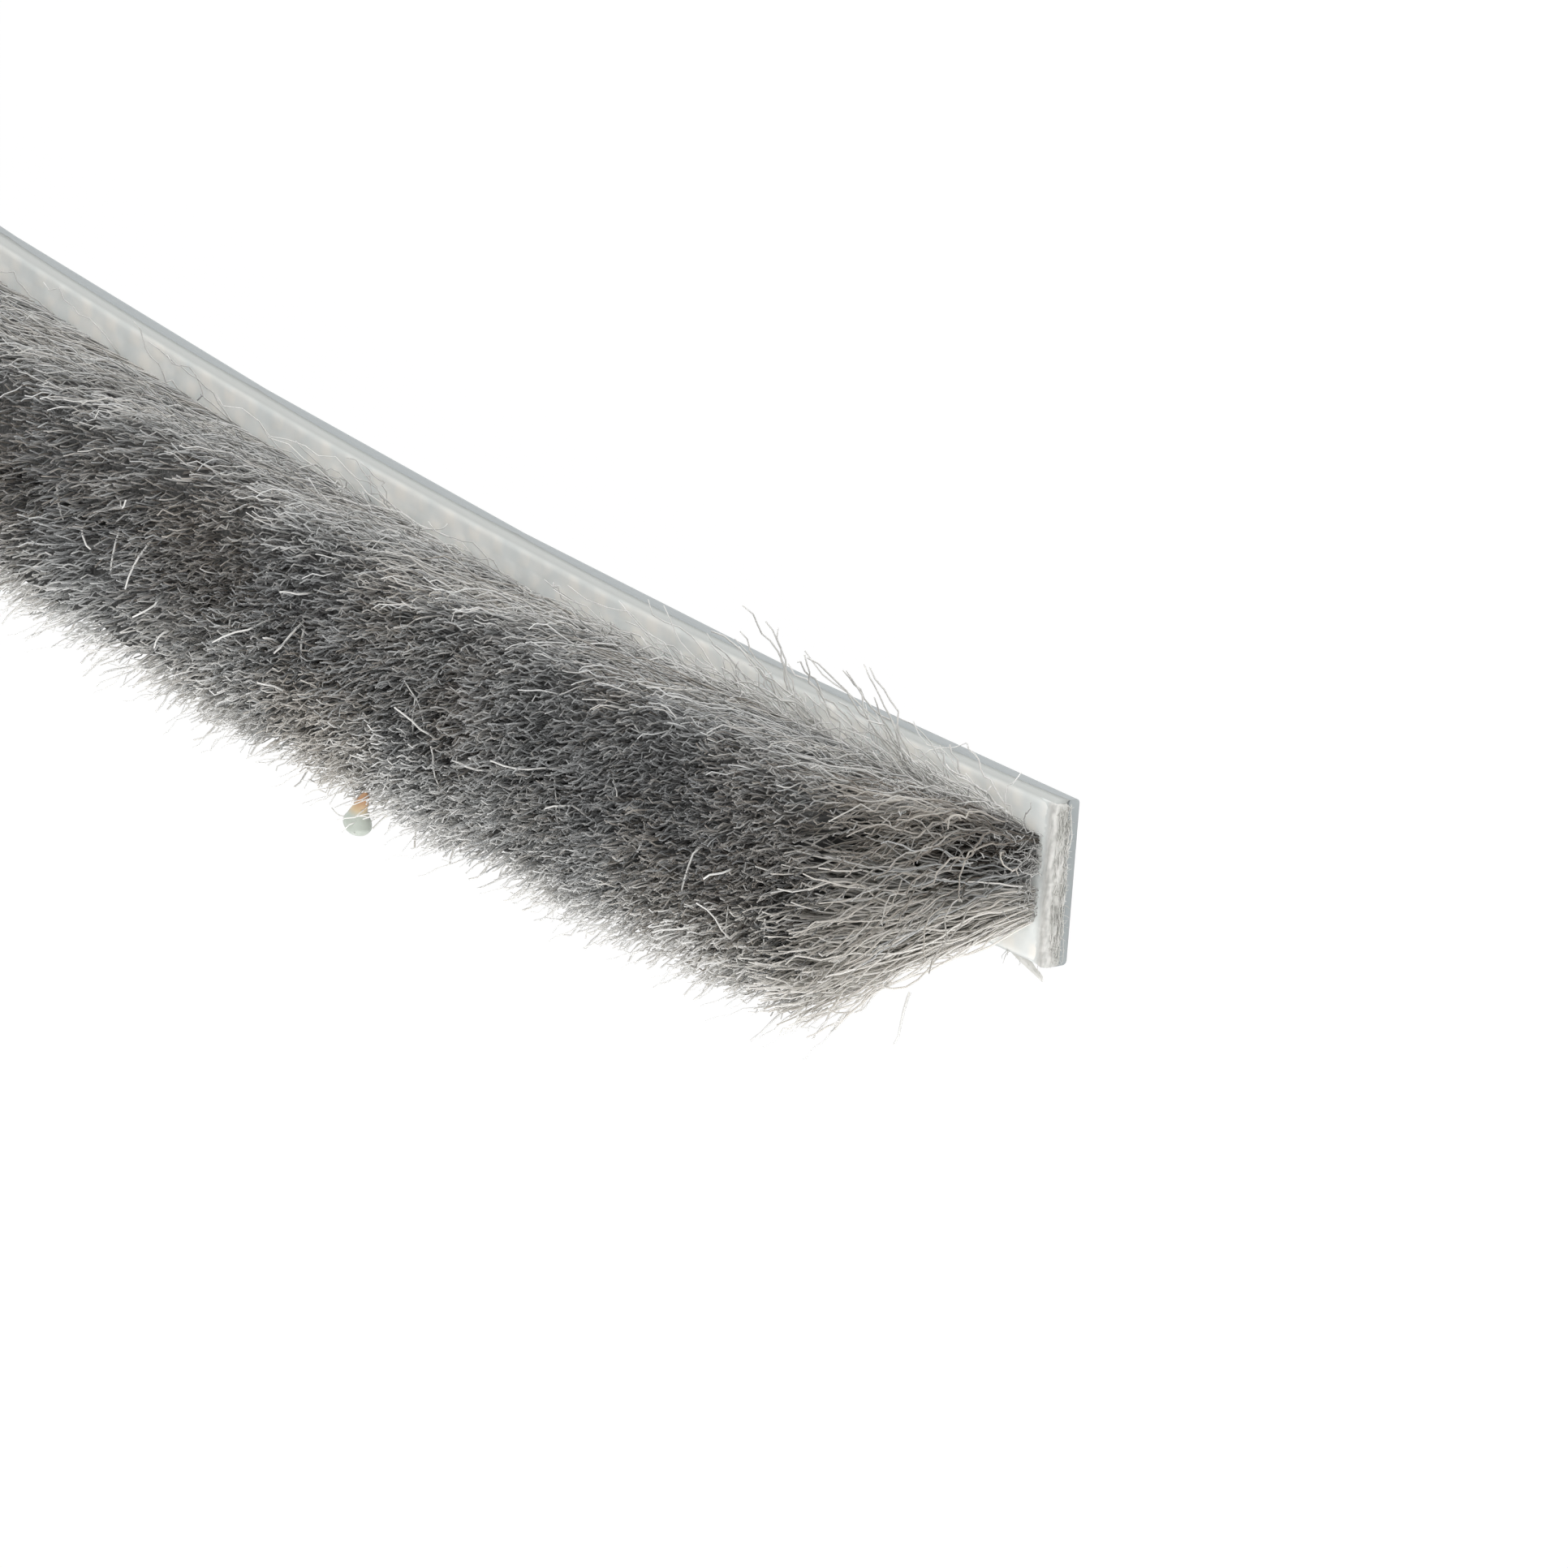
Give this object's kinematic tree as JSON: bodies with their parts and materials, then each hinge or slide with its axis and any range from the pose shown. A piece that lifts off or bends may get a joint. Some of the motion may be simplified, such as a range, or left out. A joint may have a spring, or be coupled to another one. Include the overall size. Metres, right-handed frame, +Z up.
{
  "type": "brush seal strip",
  "caption": "Flexible pile weatherstrip: flat translucent backing strip with a woven tape and a tall fan of grey yarn pile that seals a sliding gap.",
  "frame": {"origin": "underside of the backing strip, on its centre line, half way along", "axes": "+X along the strip to its bowed end, +Y across it, +Z up through the pile"},
  "size_m": [1.0004, 0.0165, 0.012],
  "materials": {
    "backing_plastic": "translucent satin polypropylene",
    "woven_tape": "woven white yarn sealed in clear plastic",
    "pile_yarn": "crimped grey synthetic yarn, cut tips"
  },
  "bodies": {
    "root": {"backing_strip": "backing_plastic", "ground_tape": "woven_tape", "pile_row_left": "pile_yarn", "pile_row_right": "pile_yarn"}
  },
  "joints": []
}
